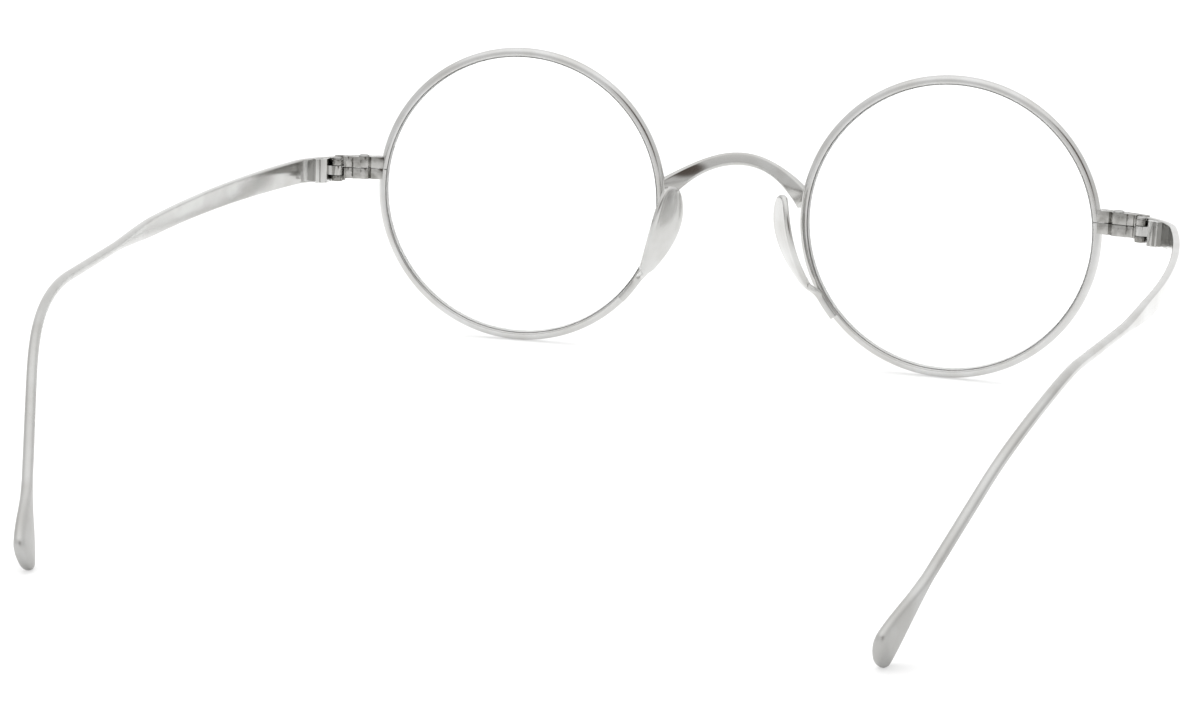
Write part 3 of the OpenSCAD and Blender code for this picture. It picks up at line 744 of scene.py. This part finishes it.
# %% [markdown]
# ## The temples
# A temple is one length of metal: a flat strip at the hinge, bowed round the head, drawn
# down to a round wire over the ear and beaten flat again at its tip. Its heading is
# worked out at every tenth of a millimetre and walked, which is how a bender would feel it.
# TIP_DEPTH is how far the tip's underside, which stands on the table, lies below that line.

# %% Course of a temple
TEMPLE_LENGTH = 149.5
BUTT_OUT, BUTT_LENGTH, BUTT_BEND_R = 46.0, 2.2, 9.0
BOW_OUT, BOW_IN, BOW_LENGTH, BOW_QUICKNESS = 9.8, 7.8, 68.0, 0.7
EAR_DROP, EAR_BEND, EAR_IN = 37.0, 28.0, 23.0
HINGE_REACH, HINGE_SETBACK, HINGE_RISE = 5.8, 3.5, 2.5
HINGE_X = LENS_X + EYEWIRE_OUT * math.cos(FACE_FORM) + HINGE_REACH
HINGE_Z = LENS_Z + HINGE_RISE
STRIP_LENGTH, TAPER_LENGTH = 57.0, 21.0
TEMPLE_HEIGHT, TEMPLE_MID_HEIGHT, TEMPLE_THICKNESS = 3.8, 2.6, 1.0
STRIP_INSET, BUTT_ADVANCE = 0.9, -0.35
WIRE = 1.3
PADDLE_WIDTH, PADDLE_THICKNESS, PADDLE_LENGTH, TIP_ROUND = 5.6, 1.8, 12.0, 1.6
PADDLE_START = TEMPLE_LENGTH - PADDLE_LENGTH
PADDLE_ROLL = 8.0
TIP_DEPTH = 1.3131
TIP_THINNING = 0.6
PADDLE_BROADEST = TEMPLE_LENGTH - 1.5
WALK_STEP = 0.1


def end_fade(s):
    """Falls from 1 to 0 along the paddle's rounded end, as an ellipse does."""
    return math.sqrt(1 - ramp(s, TEMPLE_LENGTH - TIP_ROUND, TEMPLE_LENGTH) ** 2)


def to_wire(s):
    """Rises from 0 to 1 where the strip is drawn down to wire."""
    return ease(s, STRIP_LENGTH, STRIP_LENGTH + TAPER_LENGTH)


def temple_height(s):
    """Height of the strip, the wire and the paddle."""
    if s < STRIP_LENGTH:
        return mix(TEMPLE_HEIGHT, TEMPLE_MID_HEIGHT, s / STRIP_LENGTH)
    if s < PADDLE_START:
        return mix(TEMPLE_MID_HEIGHT, WIRE, to_wire(s))
    return mix(WIRE, PADDLE_WIDTH, ease(s, PADDLE_START, PADDLE_BROADEST)) * end_fade(s)


def temple_thickness(s):
    """Thickness of the strip, the wire and the paddle."""
    if s < PADDLE_START:
        return mix(TEMPLE_THICKNESS, WIRE, to_wire(s))
    full = mix(WIRE, PADDLE_THICKNESS, ease(s, PADDLE_START, TEMPLE_LENGTH))
    return full * end_fade(s) ** TIP_THINNING


butt_end = BUTT_LENGTH + BUTT_BEND_R * math.radians(BUTT_OUT - BOW_OUT)
bow_end = butt_end + BOW_LENGTH
drop = math.radians(EAR_DROP)
ear_radius = EAR_BEND / drop
drop_length = (HINGE_Z - ear_radius * (1 - math.cos(drop)) - TIP_DEPTH) / math.sin(drop)
ear_start = TEMPLE_LENGTH - EAR_BEND - drop_length
ear_end = ear_start + EAR_BEND


def heading(s):
    """Direction of the temple at a distance from its end face."""
    if s < BUTT_LENGTH:
        out = BUTT_OUT
    elif s < butt_end:
        out = mix(BUTT_OUT, BOW_OUT, ramp(s, BUTT_LENGTH, butt_end))
    elif s < ear_start:
        out = mix(BOW_OUT, -BOW_IN, ramp(s, butt_end, bow_end) ** BOW_QUICKNESS)
    else:
        out = mix(-BOW_IN, -EAR_IN, ease(s, ear_start, ear_end))
    out, down = math.radians(out), math.radians(EAR_DROP * ramp(s, ear_start, ear_end))
    return Vector((math.sin(out) * math.cos(down), math.cos(out) * math.cos(down),
                   -math.sin(down)))


def walk_temple():
    """Points of the middle line, a step apart."""
    out = math.radians(BUTT_OUT)
    inward = Vector((-math.cos(out), math.sin(out), 0))
    hinge = Vector((HINGE_X, HINGE_SETBACK, HINGE_Z))
    at = hinge - inward * (STRIP_INSET + TEMPLE_THICKNESS / 2) + heading(0) * BUTT_ADVANCE
    at.y -= MIDDLE_Y
    points = [at.copy()]
    for i in range(round(TEMPLE_LENGTH / WALK_STEP)):
        at += heading((i + 0.5) * WALK_STEP) * WALK_STEP
        points.append(at.copy())
    return points


temple_line = walk_temple()
print("temple tip at", [round(c, 2) for c in temple_line[-1]], "ear from", round(ear_start, 1))

# %% [markdown]
# The section starts as a flat strip with broken corners, turns into round wire and ends
# as a flat oval. Both outlines have the same number of points, so that one can flow into
# the other, and each ring still bridges to the next one without a twist.

# %% Section of a temple
TEMPLE_CORNER = 0.24
EAR_LEAN = 3.0
ROLL_START, ROLL_END = PADDLE_START - 4, TEMPLE_LENGTH - 5
OVAL_END = PADDLE_START + 3
OVAL_FULLNESS, OVAL_GAP = 0.8, 3.0


def oval(height, thickness):
    """Points of a full oval, in step with those of rounded()."""
    points = []
    for quarter in range(4):
        for i in range(CORNER_STEPS + 1):
            turn = OVAL_GAP + (90 - 2 * OVAL_GAP) * i / CORNER_STEPS
            a = math.radians(90 * quarter + turn)
            x = math.copysign(abs(math.cos(a)) ** OVAL_FULLNESS, math.cos(a))
            y = math.copysign(abs(math.sin(a)) ** OVAL_FULLNESS, math.sin(a))
            points.append((height / 2 * x, thickness / 2 * y))
    return points


def temple_ring(s):
    """Flat strip, round wire or paddle, with its corners broken."""
    place = min(s / WALK_STEP, len(temple_line) - 1)
    first = min(int(place), len(temple_line) - 2)
    at = temple_line[first].lerp(temple_line[first + 1], place - first)
    along = heading(s)
    rolled = PADDLE_ROLL * ease(s, ROLL_START, ROLL_END)
    lean = math.radians(EAR_LEAN * ease(s, ear_start, TEMPLE_LENGTH) + rolled)
    up = Vector((math.sin(lean), 0, math.cos(lean)))
    up = (up - along * up.dot(along)).normalized()
    height, thickness = temple_height(s), temple_thickness(s)
    corner = mix(TEMPLE_CORNER, min(height, thickness) / 2, to_wire(s))
    paddled = ease(s, PADDLE_START, OVAL_END)
    flat = [(mix(a[0], b[0], paddled), mix(a[1], b[1], paddled))
            for a, b in zip(rounded(height, thickness, corner), oval(height, thickness))]
    return lay(flat, at, up, along.cross(up))


# %% Sweep the temples
TIP_STEPS, TIP_END_TURN = 16, 87.0


def spaced(start, end, steps):
    """Even stations from start towards end, without end itself."""
    return [mix(start, end, i / steps) for i in range(steps)]


def tip_stations():
    """Stations ever closer together towards the rounded end."""
    turns = [math.radians(TIP_END_TURN * i / TIP_STEPS) for i in range(TIP_STEPS + 1)]
    return [TEMPLE_LENGTH - TIP_ROUND * (1 - math.sin(turn)) for turn in turns]


temple_stations = ([0.0] + spaced(BUTT_LENGTH, butt_end, 16)
                   + spaced(butt_end, STRIP_LENGTH, 30)
                   + spaced(STRIP_LENGTH, ear_start, 30) + spaced(ear_start, ear_end, 28)
                   + spaced(ear_end, PADDLE_START, 4)
                   + spaced(PADDLE_START, TEMPLE_LENGTH - TIP_ROUND, 28) + tip_stations())
for side_name, side in SIDES.items():
    temple = sweep([temple_ring(s) for s in temple_stations])
    finish_piece("temple_arm_" + side_name, temple, side, TEMPLE_METAL, "temple_" + side_name,
                 ["temple_" + side_name], crisp=46)


# %% [markdown]
# ## Blocks, hinges and screws
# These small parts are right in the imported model, but their edges are knife sharp, and a
# polished edge catches light only where it is broken. A copy of each is welded, its flat
# faces joined up, and its edges get a small bevel; the copy then stands for the part.

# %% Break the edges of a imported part
FLAT_ANGLE = math.radians(1.5)
SHARP_ANGLE = math.radians(28.0)


def broken_edges(node, width):
    """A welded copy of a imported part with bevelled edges, in millimetres."""
    bm = bmesh.new()
    bm.from_mesh(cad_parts[node].data)
    bmesh.ops.scale(bm, vec=(1 / MM,) * 3, verts=bm.verts)
    bmesh.ops.remove_doubles(bm, verts=bm.verts, dist=WELD_REACH)
    bmesh.ops.dissolve_limit(bm, angle_limit=FLAT_ANGLE, verts=bm.verts, edges=bm.edges)
    sharp = [edge for edge in bm.edges
             if len(edge.link_faces) == 2 and edge.calc_face_angle() > SHARP_ANGLE]
    bmesh.ops.bevel(bm, geom=sharp, offset=width, offset_type="OFFSET", affect="EDGES",
                    segments=2, profile=0.5, material=-1, clamp_overlap=True)
    return bm


SMALL_PARTS = [
    ("closing_block_upper_", "block_upper_", 0.05, BLOCK_METAL, "polished_metal"),
    ("closing_block_lower_", "block_lower_", 0.05, BLOCK_METAL, "polished_metal"),
    ("hinge_leaf_", "leaf_", 0.05, POLISHED, "polished_metal"),
    ("closing_screw_", "closing_screw_turned_", 0.03, SCREW_STEEL, "screw_steel"),
    ("hinge_screw_", "hinge_screw_turned_", 0.03, SCREW_STEEL, "screw_steel"),
]
for node_stem, piece_stem, width, material, slot in SMALL_PARTS:
    for side_name in SIDES:
        body = "temple_" + side_name if node_stem == "hinge_leaf_" else "front"
        finish_piece(piece_stem + side_name, broken_edges(node_stem + side_name, width), 1,
                     material, body, [node_stem + side_name], crisp=30)


# %% [markdown]
# Thin plastic washers lie above and below the middle barrel, so that metal never rubs on
# metal when the temple turns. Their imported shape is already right, and only the plastic's
# dull grain is added to it.

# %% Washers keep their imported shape
WASHER = make_matt("washer_plastic", (0.05, 0.05, 0.05), (0.12, 0.12, 0.11),
                   EVENLY, scale=2600, tooth=0.5, roughness=0.55)
for side_name in SIDES:
    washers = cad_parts["hinge_washers_" + side_name]
    washers.data.materials.clear()
    washers.data.materials.append(WASHER)
print("washers in", WASHER.name)

# %% [markdown]
# ## Table, light and camera
# The photograph was taken on a white table that runs on out of sight. The table mixes a
# plain diffuse white with its own glow where the camera, a reflection or a view through
# the lens meets it, so it stays white and still holds soft shadows.
# In reflections that glow is painted: a pool of light beyond the front, fading to painted shade
# near the camera.

# %% The table
GLOW_SHARE = 0.45
PAINTED_POOL_FROM, PAINTED_POOL_TO = -0.09, 0.05
PAINTED_POOL_GLOW, PAINTED_SHADE_NEAR_CAMERA = 1.25, 0.63
TABLE_R = 6.0


def make_table_material():
    """Diffuse white, mixed with its own glow for the rays that see it; in reflections that glow
    is a painted light pool beyond the front and painted shade near the camera.
    """
    material, tree, shader = new_material("white_table")
    tree.nodes.remove(shader)
    diffuse = add_node(tree, "ShaderNodeBsdfDiffuse", "table", {"Color": (0.96, 0.96, 0.96, 1)})
    rays = add_node(tree, "ShaderNodeLightPath", "kind of ray").outputs
    # Painted light and shade for reflections only: bright beyond the front, darker towards the
    # camera.
    painted_pool = add_range(tree, place_along(tree, "Y"), (PAINTED_POOL_FROM, PAINTED_POOL_TO),
                     (PAINTED_POOL_GLOW, PAINTED_SHADE_NEAR_CAMERA), "painted light beyond the front, painted shade near the camera")
    level = add_node(tree, "ShaderNodeMix", "level when mirrored",
                     {"Factor": rays["Is Glossy Ray"], 2: 1.0, 3: painted_pool}, data_type="FLOAT")
    glow = add_node(tree, "ShaderNodeEmission", "white glow",
                    {"Color": (1, 1, 1, 1), "Strength": level.outputs[0]})
    seen = add_math(tree, "MAXIMUM", "seen", rays["Is Camera Ray"], rays["Is Transmission Ray"])
    both = add_math(tree, "MAXIMUM", "seen or mirrored", seen, rays["Is Glossy Ray"])
    share = add_math(tree, "MULTIPLY", "share of glow", both, GLOW_SHARE)
    mixed = add_node(tree, "ShaderNodeMixShader", "white and glow",
                     {"Fac": share, 1: diffuse.outputs["BSDF"], 2: glow.outputs["Emission"]})
    feed(tree, tree.nodes["Material Output"].inputs["Surface"], mixed.outputs["Shader"])
    return material


table_mesh = bmesh.new()
bmesh.ops.create_circle(table_mesh, segments=96, radius=TABLE_R, cap_ends=True)
table_data = bpy.data.meshes.new("table")
table_mesh.to_mesh(table_data)
table_mesh.free()
table = bpy.data.objects.new("table", table_data)
table.location = (0, 0, packed_box[0][2])
bpy.context.scene.collection.objects.link(table)
table_data.materials.append(make_table_material())
print("table at height", table.location.z)

# %% [markdown]
# Metal shows its surroundings, so the sky matters more than the lamps. The camera and the
# lens see plain white. A reflection sees a white tent that grows brighter overhead, a lit
# wall beyond the front, and one dark card beside the camera.

# %% Parts of the tent
def direction_mask(tree, direction, outer, inner, label):
    """A soft round mask, 0 beyond outer and 1 within inner degrees of a direction."""
    where = add_node(tree, "ShaderNodeTexCoord", label + " view")
    turn = add_node(tree, "ShaderNodeVectorMath", label + " angle",
                    {0: where.outputs["Generated"], 1: Vector(direction).normalized()},
                    operation="DOT_PRODUCT")
    edges = [math.cos(math.radians(angle)) for angle in (outer, inner)]
    return add_range(tree, turn.outputs["Value"], edges, (0, 1), label)


def grey_ramp(tree, source, stops, label):
    """A colour ramp through grey stops."""
    tones = add_node(tree, "ShaderNodeValToRGB", label, {"Fac": source})
    ends = tones.color_ramp.elements
    for position, grey in stops:
        at = ends[0] if position == 0 else ends[-1] if position == 1 else ends.new(position)
        at.color = (grey, grey, grey, 1)
    return tones.outputs["Color"]


# %% The tent
TENT_TONES = [(0, 0.9), (0.3, 0.88), (0.55, 0.95), (0.8, 1.25), (1, 1.38)]
WALL = {"direction": (0.15, -1.0, 0.25), "outer": 55, "inner": 20}
WALL_TONE = (1.12, 1.12, 1.12, 1)
CARD = {"direction": (-0.60, 0.72, 0.35), "outer": 21, "inner": 11}
CARD_TONE = (0.14, 0.115, 0.10, 1)


def make_tent():
    """White for the camera, light and lens; the tent with its darker parts for metal."""
    world = bpy.data.worlds.new("tent")
    bpy.context.scene.world = world
    world.use_nodes = True
    tree = world.node_tree
    tree.nodes.clear()
    height = place_along(tree, "Z", "Generated")
    tones = grey_ramp(tree, height, TENT_TONES, "horizon to zenith")
    wall = direction_mask(tree, label="lit wall", **WALL)
    lit = mix_colors(tree, wall, tones, WALL_TONE, "with wall")
    card = direction_mask(tree, label="dark card", **CARD)
    dark = mix_colors(tree, card, lit, CARD_TONE, "with card")
    rays = add_node(tree, "ShaderNodeLightPath", "kind of ray").outputs
    color = mix_colors(tree, rays["Is Glossy Ray"], (1, 1, 1, 1), dark, "mirrored or seen")
    sky = add_node(tree, "ShaderNodeBackground", "sky", {"Color": color, "Strength": 1.0})
    add_node(tree, "ShaderNodeOutputWorld", "world", {"Surface": sky.outputs["Background"]})


make_tent()
print("tent made, with", len(TENT_TONES), "tones from horizon to zenith")

# %% [markdown]
# Two wide soft boxes give the light its direction and the frame its faint shadows. Metal
# would mirror them as hard bright squares, so reflections don't see them.

# %% Soft boxes
def soft_box(name, place, aim, size, watts):
    """A rectangular area lamp that looks at a point, in metres."""
    lamp = bpy.data.lights.new(name, "AREA")
    lamp.shape = "RECTANGLE"
    lamp.size, lamp.size_y = size
    lamp.energy = watts
    holder = bpy.data.objects.new(name, lamp)
    holder.location = place
    holder.rotation_euler = (Vector(aim) - Vector(place)).to_track_quat("-Z", "Y").to_euler()
    holder.visible_glossy = False
    bpy.context.scene.collection.objects.link(holder)
    print(name, watts, "W")


soft_box("box_over", (0.15, -0.25, 0.9), (0, -0.02, 0), (1.2, 1.0), 5.5)
soft_box("box_left", (0.85, 0.1, 0.45), (0, 0, 0.02), (0.7, 0.8), 2.2)

# %% [markdown]
# The camera stands behind the frame, on its right, and looks down a little. Its place and
# direction were solved from the two rings, the hinges and the temple tips.

# %% The camera
CAMERA_AT = (-0.095395, 0.368933, 0.098766)
CAMERA_BACK = (-0.24872, 0.94371, 0.21806)
CAMERA_RIGHT = (-0.96466, -0.26158, 0.03178)


def make_camera():
    """The solved camera: its place, the way behind it and the way to its right."""
    lens = bpy.data.cameras.new("camera")
    lens.lens = 90.0
    lens.sensor_width = 36.0
    lens.sensor_fit = "HORIZONTAL"
    lens.clip_start = 0.01
    camera = bpy.data.objects.new("camera", lens)
    back = Vector(CAMERA_BACK).normalized()
    right = Vector(CAMERA_RIGHT)
    right = (right - back * right.dot(back)).normalized()
    turn = Matrix((right, back.cross(right), back)).transposed().to_4x4()
    camera.matrix_world = Matrix.Translation(CAMERA_AT) @ turn
    bpy.context.scene.collection.objects.link(camera)
    bpy.context.scene.camera = camera


make_camera()
bpy.context.scene.view_settings.view_transform = "Standard"
print("camera at", [round(c, 3) for c in bpy.context.scene.camera.location])

# %% [markdown]
# Smoothing and broken edges may not change the frame's size. The box round the imported frame
# is printed.

# %% Size of the imported frame
print("packed box", [[round(v, 5) for v in c] for c in packed_box])
